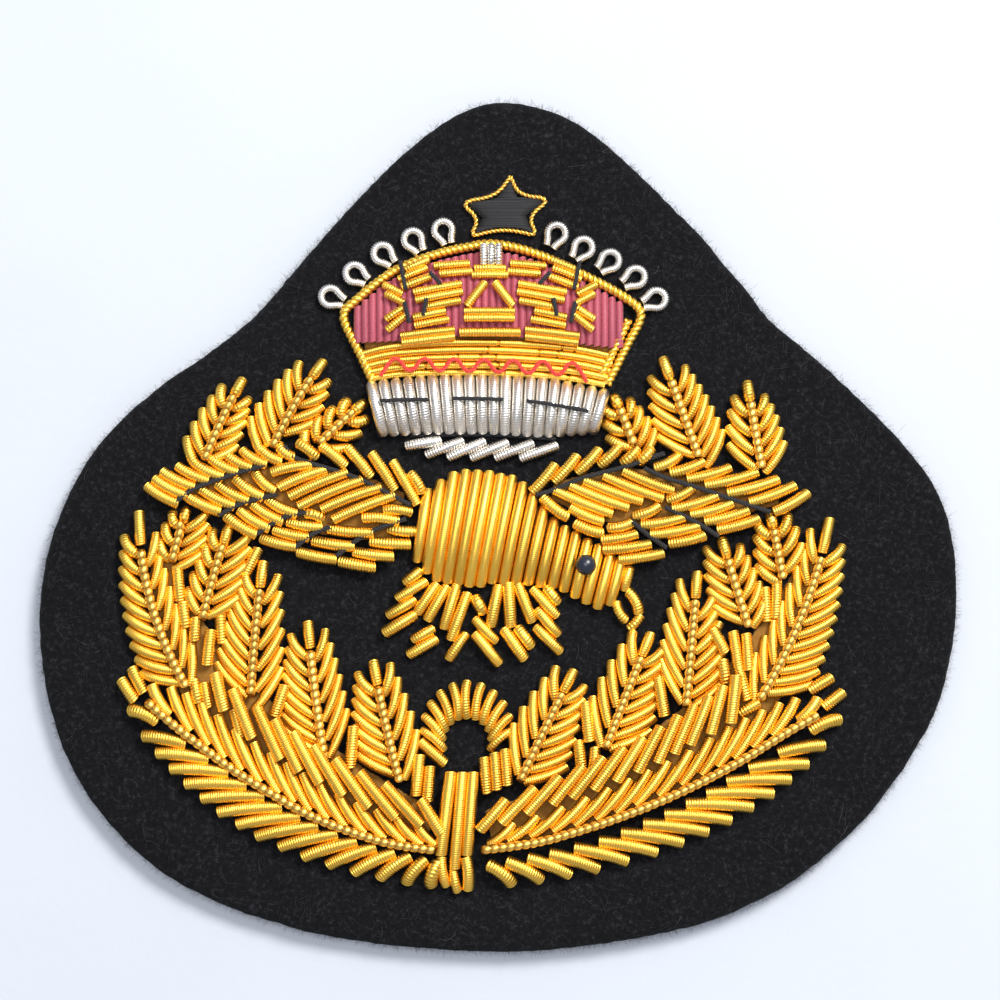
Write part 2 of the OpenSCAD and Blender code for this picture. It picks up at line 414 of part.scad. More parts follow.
wing_z = wing_pad_height + 0.06 + wing_purl;
function feathers(tips, roots, lean) =
  between(tips, roots, wing_z - 0.35, wing_z, 0.3, lean, wing_purl);
function coverts(starts, ends, lean) =
  between(starts, ends, wing_z, wing_z, 0.3, lean, wing_purl);
function laid(list, lean) = [for (c = list) [c[0], c[1], wing_z, wing_z, 0.3, lean, wing_purl]];
module wing_left() {
  color(gold) chips(concat(
    feathers([[-30.4, 3.3], [-28.8, 4.8], [-26, 5.4], [-23.2, 6.2], [-20.3, 6.6], [-19, 6.8]],
      [[-27.9, 1.9], [-26.2, 3.6], [-23.7, 4.3], [-21.2, 5.1], [-18.7, 5.6], [-17.9, 5.9]], 25),
    feathers([[-27, 2.5], [-24.4, 3.4], [-22, 4.1], [-21, 4.4]],
      [[-24.2, 1.2], [-21.9, 2.1], [-20, 2.6], [-19.5, 3]], 25),
    feathers([[-23.5, 0.7], [-21.2, 1.6], [-19.9, 2.1]],
      [[-21.1, -0.8], [-18.9, 0.3], [-17.6, 1]], 25),
    feathers([[-20.4, -1.2], [-18.1, 0.2]], [[-17.7, -1.9], [-15.4, -0.2]], 20),
    feathers([[-17.2, -2.4], [-14.6, -0.4]], [[-14.2, -3], [-11, -0.7]], 15),
    feathers([[-13.6, -3.2], [-11.2, -1.7], [-9.3, -0.4]],
      [[-10.8, -3.7], [-7.8, -1.9], [-7.3, -0.6]], 10),
    coverts([[-17.2, 7], [-14.8, 6.7], [-12, 6.5], [-9.1, 5.4]],
      [[-15.9, 6], [-12.9, 5.1], [-10.2, 3.9], [-7.1, 1.9]], -10),
    laid([[[-7.5, 4.3], [-6.7, 3]], [[-19.5, 4.6], [-16.4, 5.2]], [[-18.9, 3.3], [-15.1, 4.75]],
      [[-18, 2.5], [-13.2, 4.5]], [[-17.2, 1.65], [-11.9, 3.85]], [[-15.2, 1.4], [-10.3, 3.2]],
      [[-14.2, 0.5], [-9.1, 2.5]], [[-16.5, 0.95], [-15.4, 0.6]], [[-9.7, 1.3], [-7.7, 1.1]],
      [[-11.6, 0.6], [-8.8, 0.35]]], -20)));
}
module wing_right() {
  color(gold) chips(concat(
    feathers([[15.6, 5.9], [19.5, 5], [22.6, 4.5], [24.2, 3.9], [25.7, 3.4], [26.8, 2.7]],
      [[13.8, 5], [16.2, 4.1], [18.2, 3.4], [20, 2.8], [21.9, 2], [24.1, 1.2]], -20),
    laid([[[16.8, 3.1], [14.9, 2.2]], [[18.9, 2.45], [15.3, 1.4]], [[20.2, 1.8], [16.9, 0.9]],
      [[21.6, 1.2], [18.1, 0.3]], [[22.5, 0.5], [19.2, -0.4]]], -20),
    laid([[[13.8, 1.5], [12, 0.8]], [[16, 0.6], [12.6, 0]], [[17.3, -0.15], [13.4, -0.85]],
      [[17.8, -0.95], [15, -1.6]]], -20),
    laid([[[11.9, -0.85], [9.2, -1.3]], [[13.1, -1.7], [9.3, -2.15]],
      [[14.2, -2.5], [10.7, -3]]], -15),
    laid([[[11, 4.6], [15.1, 3]], [[9.3, 4.2], [14.2, 2.3]], [[7.6, 3.8], [12.4, 2.05]],
      [[6.4, 3.35], [11.2, 1.5]], [[5, 2.95], [9.8, 1]], [[4, 2.25], [5.9, 0.75]],
      [[6.45, 1.4], [8.95, 0.3]], [[6.85, 0.05], [8.9, -0.7]], [[9.8, -0.25], [11.4, 0.1]]], 20),
    coverts([[3.1, 3], [6, 4.3], [8.8, 5.3], [10.7, 5.5], [12.4, 5.6]],
      [[4.9, 5.1], [7.8, 6.3], [10.2, 6.6], [11.7, 6.4], [13.2, 6.4]], 10)));
}
module thread(points, r, z) { cord(at_z(points, top + z), r, false, 7); }
module wing_threads() {
  z = wing_z + 0.3;
  color(black) {
    thread([[-28, 1.9], [-26.8, 3], [-23.9, 4.1], [-20.2, 5.2]], thread_radius, z);
    thread([[-24.2, 0.8], [-22.9, 1.6], [-21.2, 2.2], [-19.2, 2.6]], thread_radius, z);
    thread([[-20.9, -0.8], [-18.7, 0.7], [-16.4, 1.1]], thread_radius, z);
    thread([[-17.6, -2], [-16.2, -0.8], [-14.6, -0.2]], thread_radius, z);
    thread([[-14, -2.7], [-11.3, -0.6], [-8, 0.5]], thread_radius, z);
    thread([[-18.5, 6.8], [-18, 5.9], [-15.9, 5.2], [-12.7, 4.3], [-9.6, 2.8], [-7.6, 1.7]],
      thread_radius, z);
    thread([[3.3, 2.6], [4.6, 2.9], [7.3, 4.1], [11.1, 5], [14.4, 6.2]], thread_radius, z);
    thread([[12.7, 4.9], [14.3, 4.1], [17.1, 3.3], [20.6, 2.1], [23.6, 1.1]], thread_radius, z);
    thread([[14.5, 1.5], [17.1, 0.3], [19.1, -1]], thread_radius, z);
    thread([[11.6, 0.3], [13, -0.9], [14.6, -2]], thread_radius, z);
  }
}

// ---------- crown ----------
rim = [[-10.9, 12.5], [-12.2, 15.3], [-13.5, 18.2], [-12.1, 19.8], [-9.6, 21.8], [-7.4, 22.9],
  [-5, 23.7], [-2.8, 24.2], [-0.7, 24.5], [1.4, 24.2], [3.4, 23.6], [5.4, 22.8], [7.4, 21.8],
  [9.2, 20.9], [10.9, 19.9], [12.5, 18.4], [11.3, 15.8], [10.2, 13.6], [9.5, 12.3]];
rim_heights = [for (i = [2 : 15]) rim[i]];
sill_heights = [[-13.5, 18.2], [-12.4, 15.9], [-9.5, 16], [-5, 16.4], [0, 16.5], [5, 16.1],
  [8.5, 15.6], [11, 15.4], [12.5, 18.4]];
function rib_top(x) = lookup(x, rim_heights) - 0.85;
function rib_foot(x) = lookup(x, sill_heights) + 0.1;
function crown_share(x) = sqrt(max(0, 1 - pow((x + 0.6) / 13, 2)));
// Height of the surface of the silk above the cloth, at a point of the crown.
function silk_height(p) = let (x = p[0], s = crown_share(x),
  t = max(0, min(1, (p[1] - rib_foot(x)) / (rib_top(x) - rib_foot(x)))))
  mix(0.34 + 0.76 * s, 0.32, t) + 0.55 * s * 4 * t * (1 - t) + silk_purl;
module crown_pad() {
  color(felt_grey) felt_pad([for (x = [-11.6, -10, -7.5, -4, -0.6, 3, 6, 8.6, 10.3])
    let (low = lookup(x, [[-12, 15.5], [-10, 13.6], [0, 13.3], [8, 12.9], [11, 15.2]]),
         high = rib_top(x) - 0.8)
      [x, (low + high) / 2, (high - low) / 2, crown_pad_height * crown_share(x)]], 11);
}
module crown_silk() {
  color(wine) chips([for (i = [0 : 35]) let (x = -12.2 + 0.65 * i, s = crown_share(x))
    [[x, rib_foot(x)], [x, rib_top(x)], 0.34 + 0.76 * s, 0.32, 0.55 * s, 0, silk_purl]]);
}
module crown_rim() {
  color(gold) cord([for (p = smooth_line(rim, 3)) [p[0], p[1], top + rim_radius + 0.12]],
    rim_radius);
  color(gold) cord([for (p = [[11.5, 17.8], [10.5, 15.7], [9.7, 14.2], [9.2, 13.2]])
    [p[0] - 0.15, p[1], top + rim_radius + 0.35]], rim_radius - 0.06);
}
arch_half = [[[-8.5, 21.4], [-6.3, 22.3]], [[-8.2, 20.7], [-6, 21.5]], [[-7.9, 22.3], [-6.2, 23]],
  [[-9.8, 20.8], [-8.4, 20.1]], [[-9.6, 20], [-8.3, 19.3]],
  [[-5.4, 22.5], [-2.6, 22.7]], [[-4.9, 21.8], [-2.4, 22]],
  [[-7.2, 20.2], [-3.3, 20.9]], [[-7, 19.5], [-3.2, 20.2]], [[-6.1, 18.9], [-3.4, 19.4]],
  [[-9.5, 17], [-8.1, 18.1]], [[-9.6, 17.9], [-8.4, 18.7]],
  [[-7.2, 18], [-4.7, 18.5]], [[-7.1, 17.3], [-4.4, 17.8]]];
arch_base = [[[-8.3, 16.4], [-3.9, 16.9]], [[-8.2, 15.8], [-3.9, 16.3]]];
arch_middle = [[[-2.6, 19.1], [-1.2, 20.9]], [[-0.2, 20.9], [1.2, 19.1]],
  [[-2.8, 18.5], [1.3, 18.5]], [[-2.8, 17.9], [1.3, 17.9]],
  [[-3.2, 16.7], [1.8, 16.7]], [[-2.1, 21.7], [0.7, 21.7]], [[-1.9, 22.3], [0.5, 22.3]]];
function mirrored(list) = [for (c = list) flip([c[1], c[0]], -0.7)];
module crown_arches() {
  color(gold) chips([for (c = concat(arch_half, mirrored(arch_half), arch_middle,
      arch_base, mirrored(arch_base)))
    [c[0], c[1], silk_height(c[0]) + crown_purl + 0.03, silk_height(c[1]) + crown_purl + 0.03,
     0.12 + 0.03 * norm(c[1] - c[0]), 0, crown_purl]]);
}
module crown_threads() {
  short = [[[-8.5, 22.9], [-8, 20.4]], [[-5.9, 21.9], [-5, 20.9]], [[-8.1, 19.3], [-7.7, 17.5]],
    [[-6.2, 19.6], [-6.5, 18.1]]];
  color(black) for (c = concat(short, mirrored(short)))
    cord([for (t = [0, 0.5, 1]) let (p = mix(c[0], c[1], t))
      [p[0], p[1], top + silk_height(p) + 0.86]], 0.2, false, 7);
}
module crown_pearl() {
  color(silver) chips([for (i = [-1 : 1]) [[-0.6 + 0.64 * i, 22.8], [-0.6 + 0.64 * i, 24.2],
    1.55, 1.4, 0.25, 0, 0.3]]);
}
gold_row_top = [[-12.1, 14.8], [-9.8, 15.4], [-6, 15.75], [-1, 15.85], [4, 15.6], [7.4, 15.2],
  [10.1, 14.6]];
gold_row_foot = [[-11, 12.75], [-8.8, 13.1], [-5.5, 13.25], [-0.8, 13.25], [3.6, 13.05],
  [6.8, 12.7], [9.3, 12.2]];
module gold_band() {
  color(gold) for (i = [0 : 4]) {
    t = i / 4;
    row = smooth_line([for (k = [0 : 6]) mix(gold_row_top[k], gold_row_foot[k], t)], 3);
    z = lookup(t, [[0, 1.12], [0.25, 1.02], [0.5, 0.9], [0.75, 0.74], [1, 0.5]]);
    cord([for (p = row) [p[0], p[1],
      top + 0.32 + (z - 0.32) * sqrt(max(0, 1 - pow((p[0] + 0.8) / 12, 2)))]], crown_purl, false, 10);
  }
}
module red_zigzag() {
  line = [for (i = [0 : 14]) let (x = -10.2 + 1.28 * i, t = i / 14)
    [x, i % 2 == 0 ? mix(12.95, 12.4, t * t) : mix(14.9, 14.5, t * t)]];
  color(red) cord([for (p = line)
    let (s = sqrt(max(0, 1 - pow((p[0] + 0.8) / 12, 2))))
      [p[0], p[1], top + 0.88 + (p[1] > 13.8 ? 0.72 : 0.22) * s]], 0.22, false, 7);
}
band_top = [[-11, 12.1], [-6, 12.65], [-0.8, 12.75], [4.5, 12.4], [9.2, 11.4]];
band_foot = [[-10, 8.1], [-5.6, 8.3], [-0.8, 8.3], [4, 8], [8.3, 8.3]];
module headband_pad() {
  h = band_pad_height;
  color(felt_grey) felt_pad([[-10, 10, 1.3, 0.8 * h], [-8, 10.2, 1.75, h], [-4, 10.35, 1.85, h],
    [0, 10.35, 1.85, h], [4, 10.1, 1.8, h], [7, 9.9, 1.6, h], [8.5, 9.8, 1.2, 0.8 * h]]);
}
module silver_band() {
  rise = band_pad_height / 0.85;
  color(silver) chips([for (i = [0 : 19]) let (t = i / 19, a = -11 + 20.2 * t, b = -10 + 18.3 * t)
    [[a, lookup(a, band_top)], [b, lookup(b, band_foot)],
     silver_purl + 0.02, silver_purl + 0.02, rise, 0, silver_purl]]);
}
module band_threads() {
  z = band_pad_height / 0.85 + 2 * silver_purl + 0.24;
  color(black) {
    thread([[-10.2, 10.7], [-8.1, 10.8], [-6, 10.8]], 0.18, z);
    thread([[-3.9, 10.9], [-1.8, 10.9], [0.4, 10.8]], 0.18, z);
    thread([[2.5, 10.7], [5.2, 10.3], [7.8, 9.8]], 0.18, z);
    thread([[-7.6, 7.8], [-3, 7.9], [0.6, 7.85], [5, 7.5]], 0.2, 0.24);
  }
}
module base_twist() {
  color(silver) chips([for (c = [[[-7.8, 6.9], [-5.2, 7.3]], [[-6.1, 6.15], [-3.2, 7.25]],
      [[-4.2, 5.95], [-1.3, 7.2]], [[-2.2, 5.9], [0.7, 7.1]], [[-0.1, 5.9], [2.9, 7.05]],
      [[2.1, 5.85], [5, 6.85]]])
    [c[0], c[1], 0.4, 0.4, 0.35, 0, 0.37]]);
}
loop_places = [[-14.4, 19.8], [-12.3, 21.8], [-9.9, 23.5], [-7.3, 24.7], [-4.7, 25.5],
  [5, 25.2], [7.3, 24], [9.6, 22.9], [11.8, 21.5], [13.6, 19.6]];
loop_bend = [for (t = [-135 : 27 : 135]) [0.22 + 0.82 * cos(t), 0.8 * sin(t)]];
loop_line = concat([[-1.1, -0.34], [-0.75, -0.4]], loop_bend, [[-0.75, 0.4], [-1.1, 0.34]]);
module pearl_loops() {
  color(silver) for (p = loop_places) translate([p[0], p[1], top + 0.4])
    rotate([0, 0, atan2(p[1] - 14, p[0] + 0.6)]) cord(at_z(loop_line, 0), 0.3, false, 8);
}

// ---------- star ----------
star = [[1.1, 30.4], [1.8, 28.75], [4.7, 28.5], [2.6, 26.9], [3.45, 25.2], [1.9, 25.6], [0.6, 25.75],
  [-0.8, 25.6], [-2.5, 25.1], [-1.6, 26.7], [-3.4, 28.2], [-0.2, 28.65]];
star_middle = [0.7, 27.5];
module star_outline() {
  color(pale_gold) cord(at_z(star, top + star_cord + 0.02), star_cord, true, 8);
}
module star_fill() {
  color(black) translate([0, 0, top + 0.02]) linear_extrude(0.42)
    polygon([for (p = star) star_middle + 0.8 * (p - star_middle)]);
}

back_lining();
stiffener();
face_cloth();
wreath_pad_left();
wreath_pad_right();
body_pad();
wing_pad_left();
wing_pad_right();
crown_pad();
headband_pad();
leaf(left_leaves[0]);  // leaf_left_1
leaf(left_leaves[1]);  // leaf_left_2
leaf(left_leaves[2]);  // leaf_left_3
leaf(left_leaves[3]);  // leaf_left_4
leaf(left_leaves[4]);  // leaf_left_5
leaf(left_leaves[5]);  // leaf_left_6
leaf(left_leaves[6]);  // leaf_left_7
leaf(left_leaves[7]);  // leaf_left_8
leaf(left_leaves[8]);  // leaf_left_9
leaf(right_leaves[0]);  // leaf_right_1
leaf(right_leaves[1]);  // leaf_right_2
leaf(right_leaves[2]);  // leaf_right_3
leaf(right_leaves[3]);  // leaf_right_4
leaf(right_leaves[4]);  // leaf_right_5
leaf(right_leaves[5]);  // leaf_right_6
leaf(right_leaves[6]);  // leaf_right_7
leaf(right_leaves[7]);  // leaf_right_8
leaf(right_leaves[8]);  // leaf_right_9
veins(left_leaves);  // leaf_veins_left
veins(right_leaves);  // leaf_veins_right
stem_outer_left();
stem_outer_right();
stem_inner_left();
stem_inner_right();
stem_check_left();
stem_check_right();
stem_cord(stem_left);  // stem_cord_left
stem_cord(stem_right);  // stem_cord_right
wreath_ring();
wreath_tie();
eagle_body();
eagle_eye();
eagle_beak();
eagle_tail();
wing_left();
wing_right();
wing_threads();
crown_silk();
crown_rim();
crown_arches();
crown_threads();
crown_pearl();
gold_band();
red_zigzag();
silver_band();
band_threads();
base_twist();
pearl_loops();
star_outline();
star_fill();
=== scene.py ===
"""The looks of an embroidered cap badge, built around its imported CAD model."""
import math
import zlib

import bpy
import numpy as np
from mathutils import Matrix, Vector, noise


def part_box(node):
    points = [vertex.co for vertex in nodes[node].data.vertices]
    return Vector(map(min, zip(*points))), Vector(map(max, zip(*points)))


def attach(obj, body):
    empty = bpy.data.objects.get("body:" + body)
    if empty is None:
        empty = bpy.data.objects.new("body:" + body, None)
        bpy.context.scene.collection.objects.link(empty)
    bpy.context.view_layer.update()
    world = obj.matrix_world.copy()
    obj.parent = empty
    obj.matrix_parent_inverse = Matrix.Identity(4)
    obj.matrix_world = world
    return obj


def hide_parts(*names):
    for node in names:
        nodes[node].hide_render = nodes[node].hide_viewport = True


MM = 0.001
CLOTH_TOP = 2.25  # height of the wool's face, in mm
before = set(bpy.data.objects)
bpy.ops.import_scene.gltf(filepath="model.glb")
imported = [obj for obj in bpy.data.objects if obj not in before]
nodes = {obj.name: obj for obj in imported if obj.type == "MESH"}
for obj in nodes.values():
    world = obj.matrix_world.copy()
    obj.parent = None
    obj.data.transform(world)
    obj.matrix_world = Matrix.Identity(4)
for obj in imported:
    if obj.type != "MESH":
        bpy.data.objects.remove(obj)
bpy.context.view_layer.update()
scene = bpy.context.scene


# ---------- camera, light and floor ----------
def look_from(obj, place, target):
    obj.location = place
    obj.rotation_euler = (Vector(target) - Vector(place)).to_track_quat("-Z", "Y").to_euler()


def make_camera():
    lens, sensor, view_width = 135, 36, 86.96 * MM
    distance = view_width * lens / sensor
    target = Vector((0.17, 2.17, 2.6)) * MM
    tilt = math.radians(2)
    cam = bpy.data.cameras.new("camera")
    cam.lens, cam.sensor_width, cam.clip_start, cam.clip_end = lens, sensor, 0.01, 10
    obj = bpy.data.objects.new("camera", cam)
    scene.collection.objects.link(obj)
    place = target + distance * Vector((0, -math.sin(tilt), math.cos(tilt)))
    look_from(obj, place, target)
    scene.camera = obj


def area_light(name, place, size, watts, colour):
    light = bpy.data.lights.new(name, "AREA")
    light.shape, light.size, light.energy, light.color = "DISK", size, watts, colour
    obj = bpy.data.objects.new(name, light)
    scene.collection.objects.link(obj)
    look_from(obj, place, (0, 0, 0))


def make_world():
    world = bpy.data.worlds.new("studio")
    world.use_nodes = True
    back = world.node_tree.nodes["Background"]
    back.inputs["Color"].default_value = (0.8, 0.87, 1.0, 1)
    back.inputs["Strength"].default_value = 0.62
    scene.world = world


make_camera()
make_world()
scene.view_settings.view_transform = "Standard"
area_light("key", (0.2, 0.26, 0.4), 0.18, 3.3, (1.0, 0.98, 0.94))
area_light("top", (-0.04, 0.06, 0.6), 0.3, 1.5, (1.0, 0.99, 0.97))


# ---------- material helpers ----------
class Nodes:
    """A small way to write a material's nodes."""

    def __init__(self, name, **settings):
        self.mat = bpy.data.materials.new(name)
        self.mat.use_nodes = True
        self.tree = self.mat.node_tree
        self.shader = self.tree.nodes["Principled BSDF"]
        for key, value in settings.items():
            self.shader.inputs[key.replace("_", " ").title()].default_value = value

    def node(self, kind, **settings):
        n = self.tree.nodes.new("ShaderNode" + kind)
        for key, value in settings.items():
            setattr(n, key, value)
        return n

    def link(self, a, b):
        self.tree.links.new(a, b)

    def position(self):
        return self.node("NewGeometry").outputs["Position"]

    def noise(self, scale, detail=3.0, rough=0.5, vector=None):
        n = self.node("TexNoise")
        n.inputs["Scale"].default_value = scale
        n.inputs["Detail"].default_value = detail
        n.inputs["Roughness"].default_value = rough
        self.link(vector or self.position(), n.inputs["Vector"])
        return n.outputs["Fac"]

    def ramp(self, fac, *stops):
        n = self.node("ValToRGB")
        band = n.color_ramp.elements
        while len(band) < len(stops):
            band.new(0.5)
        for e, (at, colour) in zip(band, stops):
            e.position, e.color = at, (*colour, 1)
        self.link(fac, n.inputs["Fac"])
        return n.outputs["Color"]

    def mix(self, fac, a, b, blend="MIX"):
        n = self.node("Mix", data_type="RGBA", blend_type=blend)
        for value, socket in ((fac, n.inputs[0]), (a, n.inputs[6]), (b, n.inputs[7])):
            if isinstance(value, (int, float)):
                socket.default_value = value
            elif isinstance(value, tuple):
                socket.default_value = (*value, 1)
            else:
                self.link(value, socket)
        return n.outputs[2]

    def maths(self, kind, a, b=0.0):
        n = self.node("Math", operation=kind)
        for value, socket in ((a, n.inputs[0]), (b, n.inputs[1])):
            if isinstance(value, (int, float)):
                socket.default_value = value
            else:
                self.link(value, socket)
        return n.outputs[0]

    def tone_and_painted_shade(self):
        """The mesh's own marks: random tone of the piece, and the masks for painted shade in a
        groove and inside a tube.
        """
        a = self.node("Attribute", attribute_name="tone_and_painted_shade")
        s = self.node("SeparateColor")
        self.link(a.outputs["Color"], s.inputs["Color"])
        return s.outputs[0], s.outputs[1], s.outputs[2]

    def bump(self, height, strength, distance):
        n = self.node("Bump")
        n.inputs["Strength"].default_value = strength
        n.inputs["Distance"].default_value = distance
        self.link(height, n.inputs["Height"])
        self.link(n.outputs["Normal"], self.shader.inputs["Normal"])

    def base(self, colour):
        self.link(colour, self.shader.inputs["Base Color"])

    def rough(self, value):
        self.link(value, self.shader.inputs["Roughness"])


def wire_metal(name, crest, valley, hole, low, high):
    """Wound metal wire in its crest colour, with painted shade deepening the grooves and darkening
    the inside of the tube.
    """
    m = Nodes(name, metallic=1.0)
    shade, groove, inside = m.tone_and_painted_shade()
    stain = m.noise(420, 4, 0.6)
    # painted shade: the groove mask blends the crest colour towards the darker valley colour
    colour = m.mix(m.maths("MULTIPLY", groove, 0.85), crest, valley)
    colour = m.mix(m.maths("MULTIPLY", stain, 0.3), colour, valley)
    # painted shade: the inside of the hollow tube end takes the dark hole colour
    colour = m.mix(inside, colour, hole)
    tone = m.node("HueSaturation")
    m.link(shade, tone.inputs["Value"])
    m.link(colour, tone.inputs["Color"])
    m.base(tone.outputs["Color"])
    rough = m.node("MapRange")
    m.link(m.noise(900, 2), rough.inputs["Value"])
    rough.inputs["To Min"].default_value, rough.inputs["To Max"].default_value = low, high
    m.rough(rough.outputs["Result"])
    m.bump(m.noise(9000, 2), 0.12, 0.00003)
    return m.mat


def thread_cloth(name, dark, light, rough=0.8, sheen=0.3, grain=6000.0):
    """Spun thread: a fine streaky colour with a soft sheen."""
    m = Nodes(name, roughness=rough, sheen_weight=sheen, sheen_roughness=0.4)
    shade, groove, _ = m.tone_and_painted_shade()
    colour = m.mix(m.noise(grain, 3, 0.6), dark, light)
    # painted shade: the groove mask darkens the thread in the grooves of wound silk
    colour = m.mix(groove, colour, dark)
    tone = m.node("HueSaturation")
    m.link(shade, tone.inputs["Value"])
    m.link(colour, tone.inputs["Color"])
    m.base(tone.outputs["Color"])
    m.bump(m.noise(grain, 2), 0.5, 0.00004)
    return m.mat


gold = wire_metal("gilt_purl", (1.0, 0.65, 0.11), (0.8, 0.36, 0.03), (0.18, 0.07, 0.01),
                  0.26, 0.42)
# pale_gilt: its very dark valley colour paints shade in the gaps between the pearl purl's beads
pale = wire_metal("pale_gilt", (1.0, 0.62, 0.13), (0.3, 0.11, 0.015), (0.1, 0.05, 0.02), 0.3, 0.46)
silver = wire_metal("silver_purl", (0.9, 0.86, 0.8), (0.52, 0.46, 0.39), (0.08, 0.07, 0.06),
                    0.24, 0.4)
black_silk = thread_cloth("black_silk", (0.004, 0.004, 0.005), (0.018, 0.018, 0.021), 0.75, 0.06)
red_silk = thread_cloth("red_floss", (0.5, 0.01, 0.008), (0.9, 0.06, 0.03), 0.5, 0.3)
wine_silk = thread_cloth("wine_silk", (0.22, 0.025, 0.05), (0.56, 0.11, 0.15), 0.45, 0.25)
# the felt is coloured dark, as painted shade, so the pad seen between the chips reads as shadowed
# gaps
pad_felt_painted_shade = thread_cloth("pad_felt_painted_shade", (0.12, 0.05, 0.006), (0.34, 0.16, 0.02), 0.95, 0.05, 2500.0)


def wool_material():
    m = Nodes("black_wool", roughness=1.0, sheen_weight=0.025, sheen_roughness=0.5)
    m.shader.inputs["Specular IOR Level"].default_value = 0.15
    blotch = m.noise(110, 4, 0.6)
    fibre = m.noise(2600, 5, 0.75)
    colour = m.ramp(fibre, (0.34, (0.001, 0.001, 0.0013)), (0.54, (0.0045, 0.0045, 0.0055)),
                    (0.74, (0.03, 0.03, 0.034)))
    m.base(m.mix(m.maths("MULTIPLY", blotch, 0.35), colour, (0.006, 0.006, 0.0075)))
    m.bump(m.noise(3400, 4, 0.7), 0.9, 0.00012)
    return m.mat


def woven_material(name, dark, light, threads):
    """Plain weave made of two crossing waves."""
    m = Nodes(name, roughness=0.9, sheen_weight=0.1)
    waves = []
    for axis in ("X", "Y"):
        w = m.node("TexWave", bands_direction=axis)
        w.inputs["Scale"].default_value = threads
        w.inputs["Distortion"].default_value = 0.6
        m.link(m.position(), w.inputs["Vector"])
        waves.append(w.outputs["Fac"])
    weave = m.maths("MULTIPLY", waves[0], waves[1])
    m.base(m.mix(weave, dark, light))
    m.bump(weave, 0.6, 0.0001)
    return m.mat


def floor_material():
    m = Nodes("pale_table", roughness=0.75)
    m.base(m.mix(m.noise(60, 3), (0.475, 0.5, 0.55), (0.505, 0.53, 0.58)))
    m.bump(m.noise(900, 3), 0.08, 0.0003)
    return m.mat


def bead_material():
    m = Nodes("eye_bead", roughness=0.3)
    m.base(m.mix(m.noise(1500, 2), (0.006, 0.008, 0.016), (0.014, 0.018, 0.034)))
    m.bump(m.noise(5000, 2), 0.1, 0.00003)
    return m.mat


wool = wool_material()
lining_weave = woven_material("lining_weave", (0.004, 0.004, 0.005), (0.02, 0.02, 0.023), 900)
buckram_weave = woven_material("buckram_weave", (0.2, 0.17, 0.12), (0.5, 0.45, 0.36), 500)
bead = bead_material()


# ---------- mesh helpers ----------
class Build:
    """Gathers points and faces, with their marks of tone and painted shade, into one mesh."""

    def __init__(self):
        self.points, self.tone_and_painted_shade, self.faces, self.count = [], [], [], 0

    def add(self, points, tone_and_painted_shade, faces):
        """faces is a list of index arrays, one row per face."""
        self.points.append(points)
        self.tone_and_painted_shade.append(tone_and_painted_shade)
        self.faces += [f + self.count for f in faces if len(f)]
        self.count += len(points)

    def object(self, name, material, slot, *replaced):
        mesh = bpy.data.meshes.new(name)
        points = np.concatenate(self.points)
        mesh.vertices.add(len(points))
        mesh.vertices.foreach_set("co", points.astype(np.float32).ravel())
        loops = np.concatenate([f.ravel() for f in self.faces])
        sizes = np.concatenate([np.full(len(f), f.shape[1]) for f in self.faces])
        mesh.loops.add(len(loops))
        mesh.loops.foreach_set("vertex_index", loops.astype(np.int32))
        mesh.polygons.add(len(sizes))
        mesh.polygons.foreach_set("loop_start", (np.cumsum(sizes) - sizes).astype(np.int32))
        mesh.polygons.foreach_set("use_smooth", np.ones(len(sizes), bool))
        mesh.update(calc_edges=True)
        tone_and_painted_shade = np.concatenate(self.tone_and_painted_shade)
        colours = np.concatenate([tone_and_painted_shade, np.ones((len(tone_and_painted_shade), 1))], axis=1)
        layer = mesh.color_attributes.new("tone_and_painted_shade", "FLOAT_COLOR", "POINT")
        layer.data.foreach_set("color", colours.astype(np.float32).ravel())
        mesh.validate()
        obj = bpy.data.objects.new(name, mesh)
        obj.data.materials.append(material)
        scene.collection.objects.link(obj)
        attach(obj, "root")
        if replaced:
            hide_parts(*replaced)
        return obj


def unit(v):
    return v / np.maximum(np.linalg.norm(v, axis=-1, keepdims=True), 1e-12)


def frames(path):
    """Tangent and two side directions along a path, without twist."""
    tangent = unit(np.gradient(path, axis=0))
    side = np.empty_like(tangent)
    last = np.cross((0, 0, 1), tangent[0])
    if np.linalg.norm(last) < 1e-3:
        last = np.array((1.0, 0, 0))
    for i, t in enumerate(tangent):
        last = unit(last - t * (last @ t))
        side[i] = last
    return tangent, side, np.cross(tangent, side)


